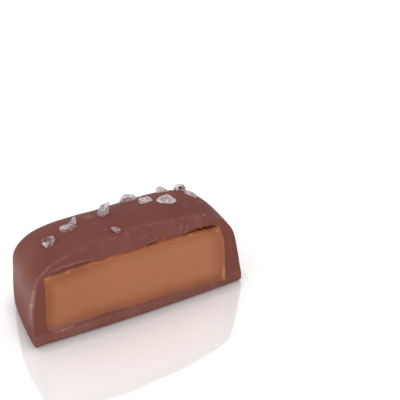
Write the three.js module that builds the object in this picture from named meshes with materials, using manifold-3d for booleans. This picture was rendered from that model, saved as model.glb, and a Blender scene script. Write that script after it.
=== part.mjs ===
// Half of a square salted caramel candy: a slab of soft caramel coated in milk chocolate, strewn with coarse
// sea salt and cut through the middle. Millimetres. The origin is the middle of the flat base, +X runs along
// the cut, the cut faces -Y and +Z is up.
import * as THREE from "three";
import { mergeVertices } from "three/addons/utils/BufferGeometryUtils.js";
import Module from "manifold-3d";

const wasm = await Module();
wasm.setup();

// The whole candy, before it was halved
const candy = {
  length: 29.7, // along the cut
  breadth: 30, // across it
  height: 13.3, // of the crown over the base
  cornerPower: 5.5, // of the rounded square seen from above
  footInset: 0.3, // the lower edge is rounded in by this much
  footHeight: 1.6,
  draft: 0.088, // share of the plan that the sides draw in by, from base to crown
  shoulderStart: 0.3, // share of the height where the sides begin to round over
  shoulderPower: 5.45,
  crownShift: -0.8, // the crown sits to one side of the base
  unevenness: 0.005, // share of the plan
  swells: [3, 7], // round the plan
};

// The knife's cut, which leaves the half behind it
const halfDepth = 12.8;
const cutY = -halfDepth / 2;
const cut = {
  bow: 0.37, // both ends lie this far behind the middle
  leanStart: 9.4, // height above which the chocolate was dragged back
  lean: 1.25, // how far back the crown's cut edge lies
  leanPower: 1.15,
  leanSkew: 0.3, // more of it towards +X
  dragDepth: 0.04, // ripples that the blade left in the chocolate on top
  dragWaves: [2.3, 4.9], // radians to a millimetre
};

// The caramel slab, whose outline shows in the cut
const caramel = {
  left: -12.7,
  right: 12.4,
  rightDraft: 0.95, // the right side draws in by this much at the top
  bottomLeft: 2.1,
  bottomRight: 1.5,
  smearRise: 0.8, // the knife smeared the lower left corner up by this much
  smearReach: 0.9,
  top: 10.8,
  topSagLeft: 0.3, // towards the ends
  topSagRight: 0.6,
  sagReach: 6,
  ripple: 0.05, // along the top
  rippleWaves: [1.7, 4.1],
  creviceMiddle: 8.9, // where the slab has shrunk away from the chocolate over it
  creviceReach: 2.3,
  creviceDrop: 0.3,
  back: 3.7,
  cornerPower: 5, // of its rounded square seen from above
  rimShare: 0.88, // the top is rounded off beyond this share of the plan,
  rimDrop: 0.35, // by this much at the cut
  backRimDrop: 1.5, // and this much more at the back
};
const wallGap = 0.25; // between the caramel and the chocolate round it

// Salt: angular crystals, with shares of their own size
const salt = {
  sides: 7,
  topWidth: 0.72,
  knock: 0.2, // how far a corner strays from the regular form
  sink: 0.3, // how much of the height is set in the chocolate
};
// The grains that lie on the crown: place, size along, across and up, and turn in degrees
const saltGrains = [
  { x: -10.5, y: -1.6, size: [1.9, 1.6, 0.75], turn: 35 },
  { x: -7.2, y: -0.3, size: [2.5, 1.4, 0.45], turn: 14 },
  { x: -6.1, y: 0.8, size: [1.2, 0.7, 1.1], turn: 20 },
  { x: -1.9, y: 0.6, size: [1.6, 1.1, 1.4], turn: 15 },
  { x: -2.2, y: -4.1, size: [1.9, 0.95, 0.4], turn: -62 },
  { x: 2.2, y: 2.3, size: [2.3, 1.3, 1.1], turn: 8 },
  { x: 4.1, y: 0.6, size: [2.1, 1.2, 0.8], turn: -6 },
  { x: 6.5, y: -0.6, size: [2.7, 2.1, 0.6], turn: -12 },
  { x: 7.4, y: 3.0, size: [1.5, 1.1, 0.9], turn: -10 },
  { x: 9.9, y: 2.5, size: [1.6, 1.3, 0.9], turn: -25 },
  { x: 10.6, y: 0.5, size: [1.9, 1.0, 0.5], turn: -48 },
];
// Smaller ones lie over the far shoulder
const farGrains = { count: 4, from: -7.4, step: 4.7, y: 5.05, scatter: 0.5, size: [1.1, 0.9, 0.45] };
// One grain sank under the chocolate and shows as a low bump
const coatedGrain = { x: -3.75, y: 0.7, size: [1.9, 0.9, 0.5], sink: 0.1 };

// Segments of the faceted surfaces
const bodySegments = { plan: 36, wall: 8 };
const cutSegments = { along: 44, up: 9 };
const slabSegments = { along: 44, depth: 8 };

const slackBeyond = 3; // how far the knife's cutting block reaches past the candy
const bisections = 40; // enough to solve the skin's curves to their last digit
const { clamp, lerp, smoothstep, degToRad } = THREE.MathUtils;

// Joins a geometry's faces at their shared corners
function welded(geometry) {
  geometry.deleteAttribute("normal");
  geometry.deleteAttribute("uv");
  return mergeVertices(geometry);
}

// Turns a closed geometry into a solid for joining and cutting
function solidOf(geometry) {
  const { attributes, index } = welded(geometry);
  return new wasm.Manifold(
    new wasm.Mesh({
      numProp: 3,
      vertProperties: attributes.position.array,
      triVerts: new Uint32Array(index.array),
    }),
  );
}

function geometryOf(solid) {
  const { numProp, vertProperties, triVerts } = solid.getMesh();
  const corners = new Float32Array((vertProperties.length / numProp) * 3);
  for (let i = 0; i < corners.length / 3; i++) {
    corners.set(vertProperties.subarray(i * numProp, i * numProp + 3), i * 3);
  }
  const geometry = new THREE.BufferGeometry();
  geometry.setAttribute("position", new THREE.BufferAttribute(corners, 3));
  geometry.setIndex(new THREE.BufferAttribute(triVerts, 1));
  geometry.computeVertexNormals();
  return geometry;
}

// A main wave with a lesser one on it
function waves(main, lesser) {
  return Math.sin(main) + 0.6 * Math.sin(lesser);
}

// Moves every vertex of a geometry to where a function puts it
function reshape(geometry, place) {
  const corners = geometry.attributes.position;
  for (let i = 0; i < corners.count; i++) {
    corners.setXYZ(i, ...place(corners.getX(i), corners.getY(i), corners.getZ(i)));
  }
  return geometry;
}

// Plan size at a share of the height, as a share of the size at the base
function girth(share) {
  const past = Math.max(0, (share - candy.shoulderStart) / (1 - candy.shoulderStart));
  const shoulder = Math.sqrt(Math.max(0, 1 - past ** candy.shoulderPower));
  const underFoot = 1 - Math.min((share * candy.height) / candy.footHeight, 1);
  const foot = 1 - (2 * candy.footInset / candy.length) * underFoot ** 2;
  return (1 - candy.draft * share) * shoulder * foot;
}

// The share of the height, above the foot, where the plan has shrunk to a given size
function shareOfGirth(size) {
  let [low, high] = [candy.shoulderStart, 1];
  for (let step = 0; step < bisections; step++) {
    const middle = (low + high) / 2;
    if (girth(middle) > size) low = middle;
    else high = middle;
  }
  return low;
}

// Slow swelling of the coat, by direction in plan and height
function swelling(angle, share) {
  const [slow, quick] = candy.swells;
  return 1 + candy.unevenness * waves(slow * angle + 1, quick * angle + 4 * share);
}

const centreY = cutY + halfDepth - candy.breadth / 2; // of the whole candy

// A point of the whole candy's skin, from a direction in its square plan, a plan size and a height
function onSkin(across, along, size, share) {
  const power = candy.cornerPower;
  const rounded = (Math.abs(across) ** power + Math.abs(along) ** power) ** (-1 / power);
  const reach = size * rounded * swelling(Math.atan2(along, across), share);
  return [
    (candy.length / 2) * across * reach + candy.crownShift * share,
    centreY + (candy.breadth / 2) * along * reach,
    candy.height * share,
  ];
}

// The chocolate's outside, as a subdivided box drawn out to the domed square
function wholeCandy() {
  const { plan, wall } = bodySegments;
  const wallTop = 0.74; // share of the height where the walls hand over to the crown
  const spread = (share) => 1 - (1 - share) ** 1.5; // crowds the crown's rings towards its rim
  const box = new THREE.BoxGeometry(2, 2, 2, plan, plan, wall);
  return reshape(box, (x, y, z) => {
    const ring = Math.max(Math.abs(x), Math.abs(y));
    const [across, along] = ring > 0 ? [x / ring, y / ring] : [0, 1];
    if (z <= -1) return onSkin(across, along, ring * girth(0), 0);
    const onWall = ring >= 1;
    const share = onWall ? (wallTop * (z + 1)) / 2 : shareOfGirth(spread(ring) * girth(wallTop));
    return onSkin(across, along, onWall ? girth(share) : spread(ring) * girth(wallTop), share);
  });
}

// How far back the knife's cut lies at a place along it and a height
function cutSurface(x, z) {
  const along = (2 * x) / candy.length;
  const rise = Math.max(0, (z - cut.leanStart) / (candy.height - cut.leanStart));
  const lean = cut.lean * (1 + cut.leanSkew * along) * rise ** cut.leanPower;
  const [coarse, fine] = cut.dragWaves;
  const drag = cut.dragDepth * Math.min(rise * 3, 1) * waves(coarse * x + z, fine * x - 2 * z);
  return cutY + cut.bow * along ** 2 + lean + drag;
}

// Everything in front of the cut, with its rows of facets where the cut leans
function removedHalf() {
  const { along, up } = cutSegments;
  const length = candy.length + 2 * slackBeyond;
  const above = candy.height + slackBeyond;
  const box = new THREE.BoxGeometry(length, candy.breadth, up, along, 1, up);
  return reshape(box, (x, y, row) => {
    const share = (row + up / 2 - 1) / (up - 1);
    const z = share < 0 ? -slackBeyond : lerp(cut.leanStart, above, share);
    return [x, y > 0 ? cutSurface(x, z) : cutY - candy.breadth, z];
  });
}

// Underside and top of the caramel at a place along the cut
function caramelBottom(x) {
  const share = (x - caramel.left) / (caramel.right - caramel.left);
  const smear = caramel.smearRise * Math.max(0, 1 - (x - caramel.left) / caramel.smearReach);
  return lerp(caramel.bottomLeft, caramel.bottomRight, share) + smear;
}

function caramelTop(x, shrunk) {
  const { left, right, sagReach } = caramel;
  const [coarse, fine] = caramel.rippleWaves;
  const ripple = caramel.ripple * waves(coarse * x, fine * x + 1);
  const sagLeft = caramel.topSagLeft * smoothstep(left + sagReach - x, 0, sagReach);
  const sagRight = caramel.topSagRight * smoothstep(x - right + sagReach, 0, sagReach);
  const away = Math.abs(x - caramel.creviceMiddle) / caramel.creviceReach;
  const crevice = shrunk ? caramel.creviceDrop * clamp(4 * (1 - away), 0, 1) : 0;
  return caramel.top + ripple - sagLeft - sagRight - crevice;
}

// The back half of the caramel slab, from the candy's middle, grown by a clearance on every side
function caramelSlab(clearance, shrunk) {
  const { left, right, rightDraft, back, cornerPower, rimShare, rimDrop, backRimDrop } = caramel;
  const box = new THREE.BoxGeometry(2, 1, 2, slabSegments.along, slabSegments.depth, 1);
  return reshape(box.translate(0, 0.5, 0), (across, along, side) => {
    const ring = Math.max(Math.abs(across), along);
    const rounded = (Math.abs(across) ** cornerPower + along ** cornerPower) ** (1 / cornerPower);
    const reach = ring > 0 ? ring / rounded : 1;
    const [from, to] = [left - clearance, right + clearance - (side > 0 ? rightDraft : 0)];
    const x = (from + to) / 2 + ((to - from) / 2) * across * reach;
    const y = centreY + (back + clearance - centreY) * along * reach;
    const rim = Math.max(0, (ring - rimShare) / (1 - rimShare)) ** 2;
    const drop = (rimDrop + backRimDrop * along) * rim;
    return [x, y, side > 0 ? caramelTop(x, shrunk) + clearance - drop : caramelBottom(x) - clearance];
  });
}

// Height of the candy's skin over a place in plan
function crownHeight(x, y) {
  const power = candy.cornerPower;
  const outside = (share) => {
    const size = Math.max(girth(share), 1e-6);
    const across = (2 * (x - candy.crownShift * share)) / (candy.length * size);
    const along = (2 * (y - centreY)) / (candy.breadth * size);
    return Math.abs(across) ** power + Math.abs(along) ** power > 1;
  };
  let [low, high] = [0, 1];
  for (let step = 0; step < bisections; step++) {
    const middle = (low + high) / 2;
    if (outside(middle)) high = middle;
    else low = middle;
  }
  return low * candy.height;
}

function crownNormal(x, y) {
  const reach = 0.2; // to either side, where the slope is taken
  const slopeX = (crownHeight(x + reach, y) - crownHeight(x - reach, y)) / (2 * reach);
  const slopeY = (crownHeight(x, y + reach) - crownHeight(x, y - reach)) / (2 * reach);
  return new THREE.Vector3(-slopeX, -slopeY, 1).normalize();
}

// A small repeatable random source
function seeded(seed) {
  let state = seed * 7919 + 13;
  return () => {
    state = (state * 16807) % 2147483647;
    return state / 2147483647;
  };
}

// Lays a geometry that is modelled flat on the ground down on the crown
function layOnCrown(geometry, { x, y, turn = 0 }, sink) {
  const lean = new THREE.Quaternion().setFromUnitVectors(new THREE.Vector3(0, 0, 1), crownNormal(x, y));
  const place = new THREE.Vector3(x, y, crownHeight(x, y));
  return geometry
    .rotateZ(degToRad(turn))
    .translate(0, 0, -sink)
    .applyQuaternion(lean)
    .translate(...place);
}

// An angular crystal: a many-sided stub with every corner knocked out of line
function saltGrain(grain, seed) {
  const random = seeded(seed);
  const [long, wide, tall] = grain.size;
  const stray = () => salt.knock * (2 * random() - 1);
  const stub = new THREE.CylinderGeometry(salt.topWidth / 2, 1 / 2, 1, salt.sides).rotateX(Math.PI / 2);
  const crystal = reshape(welded(stub), (x, y, z) => {
    const out = 1 + stray();
    return [x * out * long, y * out * wide, (z + 1 / 2 + stray() / 2) * tall];
  });
  return layOnCrown(crystal, grain, salt.sink * tall);
}

function coatedBump({ size: [long, wide, tall], sink, ...place }) {
  const bump = new THREE.SphereGeometry(1 / 2, 12, 8).scale(long, wide, tall);
  return layOnCrown(bump, place, sink);
}

function farRow() {
  const random = seeded(77);
  const { count, from, step, y, scatter, size } = farGrains;
  return Array.from({ length: count }, (_, i) => ({
    x: from + i * step + scatter * (random() - 1 / 2),
    y: y + scatter * (random() - 1 / 2),
    size: size.map((value) => value * (0.85 + 0.4 * random())),
    turn: 180 * random(),
  }));
}

// A named mesh whose geometry is measured from the place where the mesh stands
function placed(name, solid, material, place) {
  const mesh = new THREE.Mesh(geometryOf(solid).translate(-place.x, -place.y, -place.z), material);
  mesh.name = name;
  mesh.position.copy(place);
  return mesh;
}

const removed = solidOf(removedHalf());

// The chocolate coat, hollowed for the caramel, with its salt
const coat = solidOf(wholeCandy()).subtract(solidOf(caramelSlab(wallGap, false))).subtract(removed);
const toppings = [...[...saltGrains, ...farRow()].map(saltGrain), coatedBump(coatedGrain)];
const chocolate = placed(
  "chocolate_coat",
  toppings.reduce((joined, topping) => joined.add(solidOf(topping)), coat),
  new THREE.MeshStandardMaterial({ color: "#7a4b44", roughness: 0.42, metalness: 0 }),
  new THREE.Vector3(0, 0, 0),
);

// The caramel, from the cut through to its back edge, stands on the chocolate's floor
const filling = placed(
  "caramel_filling",
  solidOf(caramelSlab(0, true)).subtract(removed),
  new THREE.MeshStandardMaterial({ color: "#ac6f53", roughness: 0.5, metalness: 0 }),
  new THREE.Vector3(0, cutY, caramel.bottomRight),
);

const halfCandy = new THREE.Group();
halfCandy.add(chocolate, filling);
export default halfCandy;
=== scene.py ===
# Half of a salted caramel candy, cut through the middle: milk chocolate coat, caramel filling, coarse salt.
import math
import random

import bpy
import numpy as np
from mathutils import Matrix, Vector


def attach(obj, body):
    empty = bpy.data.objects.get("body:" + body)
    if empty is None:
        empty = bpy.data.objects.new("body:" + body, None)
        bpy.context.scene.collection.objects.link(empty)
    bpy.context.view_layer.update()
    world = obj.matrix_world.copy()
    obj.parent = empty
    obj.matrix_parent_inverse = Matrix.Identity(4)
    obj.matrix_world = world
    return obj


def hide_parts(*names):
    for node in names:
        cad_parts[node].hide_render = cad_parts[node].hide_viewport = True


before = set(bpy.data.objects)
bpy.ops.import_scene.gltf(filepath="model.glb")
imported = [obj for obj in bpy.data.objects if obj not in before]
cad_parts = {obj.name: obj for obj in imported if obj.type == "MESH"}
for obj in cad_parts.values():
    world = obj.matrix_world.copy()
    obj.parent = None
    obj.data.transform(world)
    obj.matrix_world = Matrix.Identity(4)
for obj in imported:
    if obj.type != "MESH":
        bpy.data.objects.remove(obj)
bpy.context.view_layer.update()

mm = 0.001  # every place and size below is in millimetres


def deselect():
    bpy.ops.object.select_all(action="DESELECT")


def selectOnly(piece):
    deselect()
    piece.select_set(True)
    bpy.context.view_layer.objects.active = piece


def named(name):  # names the piece that was just made
    piece = bpy.context.object
    piece.name = piece.data.name = name
    return piece


def readPoints(piece):
    points = np.empty(len(piece.data.vertices) * 3)
    piece.data.vertices.foreach_get("co", points)
    return points.reshape(-1, 3) / mm


def readNormals(piece):
    normals = np.empty(len(piece.data.vertices) * 3, dtype=np.float32)
    piece.data.vertex_normals.foreach_get("vector", normals)
    return normals.reshape(-1, 3).astype(float)


def writePoints(piece, points):
    piece.data.vertices.foreach_set("co", (points * mm).ravel())
    piece.data.update()


def subdividedCube(name, cuts):
    deselect()
    bpy.ops.mesh.primitive_cube_add(size=2 * mm)
    cube = named(name)
    bpy.ops.object.mode_set(mode="EDIT")
    bpy.ops.mesh.select_all(action="SELECT")
    bpy.ops.mesh.subdivide(number_cuts=cuts)
    bpy.ops.object.mode_set(mode="OBJECT")
    return cube


def applyModifier(piece, kind, **values):
    selectOnly(piece)
    modifier = piece.modifiers.new(kind.title(), kind)
    for name, value in values.items():
        setattr(modifier, name, value)
    bpy.ops.object.modifier_apply(modifier=modifier.name)


def cutAway(piece, block):
    applyModifier(piece, "BOOLEAN", operation="DIFFERENCE", solver="MANIFOLD", object=block)
    bpy.data.objects.remove(block)


def remesh(piece, values):  # faces of one size all over, smoothed a little
    applyModifier(piece, "REMESH", mode="VOXEL", voxel_size=values["voxel"] * mm)
    applyModifier(piece, "SMOOTH", factor=0.5, iterations=values["smoothing"])
    print(piece.name, "remeshed:", len(piece.data.polygons), "faces")


def shadeSmooth(piece):
    selectOnly(piece)
    bpy.ops.object.shade_smooth()
    print(piece.name, "done:", len(piece.data.polygons), "faces")
    return piece


def thinOut(piece, triangles):  # fewer faces where the surface is flat, the same where it is carved
    piece.data.calc_loop_triangles()
    share = triangles / len(piece.data.loop_triangles)
    if share < 1:
        applyModifier(piece, "DECIMATE", ratio=share)


def addPaint(piece, name, values):  # a share for every vertex, which a material reads by name
    layer = piece.data.attributes.new(name, "FLOAT", "POINT")
    layer.data.foreach_set("value", np.clip(values, 0, 1).astype(np.float32))


def smoothStep(value, start, end):
    share = np.clip((value - start) / (end - start), 0, 1)
    return share * share * (3 - 2 * share)


def bell(value, width):
    return np.exp(-(value / width) ** 2)


def wobble(place, spacing, seed):  # a smooth random line from -1 to 1 with a knot at every spacing
    knots = np.array([random.Random(seed * 1000 + i).uniform(-1, 1) for i in range(256)])
    steps = place / spacing + 128
    low = np.floor(steps).astype(int)
    share = smoothStep(steps - low, 0, 1)
    return knots[low % 256] * (1 - share) + knots[(low + 1) % 256] * share


def swell(points, wavelength, seed, waves=7):  # slow unevenness in space, mostly from -1 to 1
    rng = random.Random(seed)
    height = np.zeros(len(points))
    for _ in range(waves):
        direction = Vector((rng.gauss(0, 1), rng.gauss(0, 1), rng.gauss(0, 1))).normalized()
        phase = rng.uniform(0, 2 * math.pi)
        height += np.sin(points @ np.array(direction) * 2 * math.pi / wavelength + phase)
    return height / math.sqrt(waves)


def wobbles(place, parts):  # several random lines together: spacing, seed and share of each
    return sum(share * wobble(place, spacing, seed) for spacing, seed, share in parts)


def spots(value, places):  # soft spots along a line: middle, half width and strength of each
    return sum(strength * bell(value - middle, width) for middle, width, strength in places)


def alongLine(value, line):
    return np.interp(value, [point[0] for point in line], [point[1] for point in line])


def lineDistance(x, z, points):  # distance from a line in the cut, and the share of its length
    nearest = np.full(len(x), 1e9)
    along = np.zeros(len(x))
    for i, ((x0, z0), (x1, z1)) in enumerate(zip(points, points[1:])):
        length = math.hypot(x1 - x0, z1 - z0)
        share = np.clip(((x - x0) * (x1 - x0) + (z - z0) * (z1 - z0)) / length**2, 0, 1)
        away = np.hypot(x - x0 - share * (x1 - x0), z - z0 - share * (z1 - z0))
        along = np.where(away < nearest, (i + share) / (len(points) - 1), along)
        nearest = np.minimum(away, nearest)
    return nearest, along


# The whole candy, a domed square, before it was halved
candy = {
    "length": 29.7, "breadth": 30.0, "height": 13.3,
    "halfDepth": 12.8,
    "planPower": 5.5,  # squareness seen from above
    "draft": 0.088, "shoulderStart": 0.3, "shoulderPower": 5.45,
    "footInset": 0.3, "footHeight": 1.2,
    "crownShift": -0.8,
    "wallTop": 0.74,  # share of the height where the walls hand over to the crown
}
frontY = -candy["halfDepth"] / 2
centreY = candy["halfDepth"] / 2 - candy["breadth"] / 2  # middle of the whole candy

# The knife's cut, bowed and dragged back at the top
cut = {
    "bow": 0.37, "leanStart": 9.4, "leanPower": 1.15,
    "lean": [(-12.5, 1.45), (-11.2, 1.4), (-8.5, 0.86), (-5.2, 0.68), (-2.6, 0.6), (-1.0, 0.72), (0.3, 0.9),
             (1.9, 1.16), (5.5, 1.14), (7.5, 1.28), (9.4, 1.6), (11.5, 1.7)],  # x, how far back at the top
    "baseRound": 0.42, "baseRise": 0.5,  # its lower edge is rounded under
    "blockCuts": 99, "blockMargin": 3,  # the block that makes the cut reaches this far past the candy
}


def girth(share):  # plan size at a share of the height
    past = np.clip((share - candy["shoulderStart"]) / (1 - candy["shoulderStart"]), 0, 1)
    shoulder = np.sqrt(np.clip(1 - past ** candy["shoulderPower"], 0, 1))
    under = 1 - np.clip(share * candy["height"] / candy["footHeight"], 0, 1)
    foot = 1 - 2 * candy["footInset"] / candy["length"] * under**2
    return (1 - candy["draft"] * share) * shoulder * foot


def shareOfGirth(size):  # the share of the height, above the foot, with a given plan size
    low, high = np.full(len(size), candy["shoulderStart"]), np.ones(len(size))
    for _ in range(40):
        middle = (low + high) / 2
        wider = girth(middle) > size
        low, high = np.where(wider, middle, low), np.where(wider, high, middle)
    return low


def domedSquare(points):  # turns a cube's points into the whole candy's
    x, y, z = points.T
    ring = np.maximum(np.abs(x), np.abs(y))
    safe = np.maximum(ring, 1e-9)
    across, along = x / safe, y / safe
    spread = 1 - np.maximum(1 - ring, 0) ** 1.5  # crowds the crown's rings towards its rim
    wall = (ring > 1 - 1e-6) & (z > -1 + 1e-6)
    base = z < -1 + 1e-6
    crownSize = spread * girth(candy["wallTop"])
    share = np.where(wall, candy["wallTop"] * (z + 1) / 2, shareOfGirth(crownSize))
    size = np.where(wall, girth(share), crownSize)
    share = np.where(base, 0, share)
    size = np.where(base, ring * girth(0), size)
    power = candy["planPower"]
    rounded = np.maximum(np.abs(across) ** power + np.abs(along) ** power, 1e-9) ** (-1 / power)
    return np.stack([
        candy["length"] / 2 * across * size * rounded + candy["crownShift"] * share,
        centreY + candy["breadth"] / 2 * along * size * rounded,
        candy["height"] * share,
    ], 1)


def planShare(x, y, share):  # 1 on the skin at a share of the height, less inside it
    size = np.maximum(girth(share), 1e-6)
    across = np.minimum(np.abs(2 * (x - candy["crownShift"] * share) / (candy["length"] * size)), 9)
    along = np.minimum(np.abs(2 * (y - centreY) / (candy["breadth"] * size)), 9)
    power = candy["planPower"]
    return (across**power + along**power) ** (1 / power)


def crownHeight(x, y):  # height of the skin over a place
    low, high = np.zeros(np.shape(x)), np.ones(np.shape(x))
    for _ in range(30):
        middle = (low + high) / 2
        outside = planShare(x, y, middle) > 1
        low, high = np.where(outside, low, middle), np.where(outside, middle, high)
    return low * candy["height"]


def skinDepth(points):  # how far a point lies under the skin
    x, y, z = points.T
    over = np.maximum(crownHeight(x, y) - z, 0) + 1e-6
    share = np.clip(z / candy["height"], 0, 1)
    aside = np.maximum(1 - planShare(x, y, share), 0) * girth(share) * candy["length"] / 2 + 1e-6
    return over * aside / np.hypot(over, aside)


def cutDepth(x, z):  # how far back the cut lies
    along = 2 * x / candy["length"]
    rise = np.maximum(0, (z - cut["leanStart"]) / (candy["height"] - cut["leanStart"]))
    lean = alongLine(x, cut["lean"]) * rise ** cut["leanPower"]
    under = cut["baseRound"] * np.clip(1 - z / cut["baseRise"], 0, 1) ** 2
    return frontY + cut["bow"] * along**2 + lean + under


def makeKnife(name):  # a block that fills all in front of the cut
    knife = subdividedCube(name, cut["blockCuts"])
    x, y, z = readPoints(knife).T
    x = x * (candy["length"] / 2 + cut["blockMargin"])
    z = candy["height"] / 2 + z * (candy["height"] / 2 + cut["blockMargin"])
    share = (y + 1) / 2
    y = frontY - candy["breadth"] * (1 - share) + (cutDepth(x, z) - frontY) * share
    writePoints(knife, np.stack([x, y, z], 1))
    return knife


# The caramel slab: its outline in the cut, and how it goes on behind
caramel = {
    "topLine": [(-13, 10.62), (-12.2, 10.48), (-11.2, 10.36), (-10.2, 10.46), (-9.3, 10.62), (-8.3, 10.64),
                (-6.8, 10.78), (-5.3, 10.68), (-3.7, 10.84), (-2.2, 10.76), (-0.6, 10.62), (3.9, 10.62),
                (5, 10.5), (7.9, 10.4), (9.4, 10.12), (10.3, 10.06), (11.5, 10.2)],
    "bottomLine": [(-12.9, 2.35), (-12.2, 1.96), (-11, 1.96), (-9.6, 2.05), (-7.6, 2.28), (-4.8, 2.4),
                   (-2.1, 2.12), (2.4, 2.05), (5.5, 1.85), (7.8, 1.62), (9.2, 1.62), (10.8, 1.35),
                   (12.2, 1.0)],
    "leftLine": [(0, -12.7), (0.04, -12.98), (0.2, -13.1), (0.6, -12.95), (1, -12.9)],  # share of height, x
    "rightLine": [(0, 12.15), (0.25, 12.05), (0.5, 12), (0.73, 11.85), (0.9, 11.5), (1, 11.3)],
    "drips": [(-9.9, 0.12, 0.2), (1.8, 0.1, 0.12), (7.1, 0.1, 0.1), (8.6, 0.16, 0.16),
              (9.4, 0.14, 0.14)],  # where the lower edge hangs down
    "back": 3.7, "planPower": 5.0,  # how far back it reaches, and its squareness seen from above
    "rimShare": 0.88, "rimDrop": 0.02,  # its top drops a little at the sides
    "backRimDrop": 1.5, "dropStart": 0.35,  # and more at the back, under the dome
    "raggedness": 0.05,  # of the edges, made of waves: spacing, seed and share of each
    "bottomRagged": [(0.5, 3, 1), (0.22, 4, 1), (0.11, 7, 0.6)],
    "topRagged": [(0.6, 5, 0.8), (0.24, 6, 1), (0.12, 8, 0.6)],
}


def caramelBottom(x):
    ragged = caramel["raggedness"] * wobbles(x, caramel["bottomRagged"])
    return alongLine(x, caramel["bottomLine"]) + ragged - spots(x, caramel["drips"])


def caramelTop(x):
    return alongLine(x, caramel["topLine"]) + caramel["raggedness"] * wobbles(x, caramel["topRagged"])


def slabPoints(points, grow):  # turns a cube's points into the slab's back half, grown on every side
    across, depth, side = points[:, 0], (points[:, 1] + 1) / 2, points[:, 2]
    ring = np.maximum(np.abs(across), depth)
    power = caramel["planPower"]
    reach = ring / np.maximum(np.abs(across) ** power + depth**power, 1e-9) ** (1 / power)
    up = (side + 1) / 2
    left = alongLine(up, caramel["leftLine"]) - grow
    right = alongLine(up, caramel["rightLine"]) + grow
    x = (left + right) / 2 + (right - left) / 2 * across * reach
    y = centreY + (caramel["back"] + grow - centreY) * depth * reach
    rim = np.clip((ring - caramel["rimShare"]) / (1 - caramel["rimShare"]), 0, 1) ** 2
    behind = smoothStep(depth, caramel["dropStart"], 1)
    top = caramelTop(x) + grow - rim * (caramel["rimDrop"] + caramel["backRimDrop"] * behind)
    bottom = caramelBottom(x) - grow
    return np.stack([x, y, bottom + (top - bottom) * up], 1)


filling = {
    "cuts": 79, "voxel": 0.1, "smoothing": 2, "triangles": 180000,
    "sink": 0.07,  # its sides reach this far into the chocolate, so that no gap opens
    "faceFade": (0.3, 0.9),  # the face's relief fades out this far behind the cut
    "edgeRound": 0.12, "bulge": 0.04,  # the soft face rounds back a little to its edges
    "topEdge": 0.2, "topEdgeDepth": 0.05,  # more so along the top
    "bellyReach": 2.5, "belly": 0.08,
    "lipHeight": 0.5, "lipGroove": 0.035, "lipWidth": 0.14,  # a groove runs under the top edge
    "stripStart": 0.5, "stripWidth": 0.75, "stripRise": 0.05,  # the right edge was pulled up by the blade
    "stripEnds": 0.2,
    "waves": 0.025, "grain": 0.008, "grainLength": 0.9,
}
fillingPaint = {  # how strongly the face turns to painted shade, painted highlights and its other colours, and how far in from its edges
    "leftDark": 0.8, "leftReach": 2.0, "leftHalfDark": 0.16,
    "rightDark": 0.55, "rightReach": (0.3, 2.8),
    "bottomDark": 0.8, "bottomRightDark": 0.15, "bottomReach": 2.4,
    "topDark": 0.22, "topLeftDark": 0.36, "topReach": (0.3, 2.0),
    "grooveDark": 0.45, "grooveWidth": 0.09,
    "cornerClear": 0.6, "leftCorner": (0.5, 0.9, 0.42), "rightCorner": (0.4, 0.7, 0.3),  # paler top corners
    "stripLight": 0.15, "stripSpots": [(2.2, 1.2, 0.6), (9.9, 0.5, 0.15)],  # a painted highlight up the right edge
    # a painted highlight along the top edge
    "edgeLight": 0.25, "edgeLightVaries": 0.45,
    "fringe": 0.18, "fringeMiddle": 0.72, "fringeWidth": 0.3,  # a warm line along the top edge
    "smearWidth": 0.65, "smearCorner": [(-11.4, 1.7, 0.8)],  # chocolate dragged over the lower edge
}


def faceEdges(x, z):  # distances from the four edges of the caramel's face
    top, bottom = caramelTop(x), caramelBottom(x)
    up = (z - bottom) / (top - bottom)
    left = x - alongLine(up, caramel["leftLine"])
    right = alongLine(up, caramel["rightLine"]) - x
    return left, right, z - bottom, top - z


def fromLip(x, top):  # how far a place lies below the groove under the top edge
    return top - filling["lipHeight"] - 0.1 * wobble(x, 1.1, 12)


def carveFilling(slab):
    points = readPoints(slab)
    x, y, z = points.T
    _, right, bottom, top = edges = faceEdges(x, z)
    inside = np.maximum(np.minimum.reduce(edges), 0)
    crown = 1 - np.exp(-inside / filling["edgeRound"])
    relief = filling["bulge"] * crown + filling["belly"] * (1 - np.exp(-inside / filling["bellyReach"]))
    relief -= filling["topEdgeDepth"] * np.exp(-np.maximum(top, 0) / filling["topEdge"])
    relief -= filling["lipGroove"] * bell(fromLip(x, top), filling["lipWidth"])
    stripWidth = filling["stripWidth"] + 0.15 * wobble(z, 0.7, 11)
    strip = (1 - smoothStep(right, filling["stripStart"], stripWidth)) * (top > filling["stripEnds"])
    relief += filling["stripRise"] * strip * smoothStep(bottom, 0, filling["stripEnds"])
    relief += filling["waves"] * (wobble(x + 0.35 * z, 2.2, 13) + 0.5 * wobble(z - 0.2 * x, 2.8, 14)) * crown
    relief += filling["grain"] * swell(points, filling["grainLength"], 15)
    points[:, 1] -= relief * (1 - smoothStep(y - cutDepth(x, z), *filling["faceFade"]))
    writePoints(slab, points)


def makeFilling():
    slab = subdividedCube("caramelFilling", filling["cuts"])
    writePoints(slab, slabPoints(readPoints(slab), filling["sink"]))
    cutAway(slab, makeKnife("fillingKnife"))
    remesh(slab, filling)
    carveFilling(slab)
    thinOut(slab, filling["triangles"])
    paintFilling(slab)
    return shadeSmooth(slab)


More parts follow.
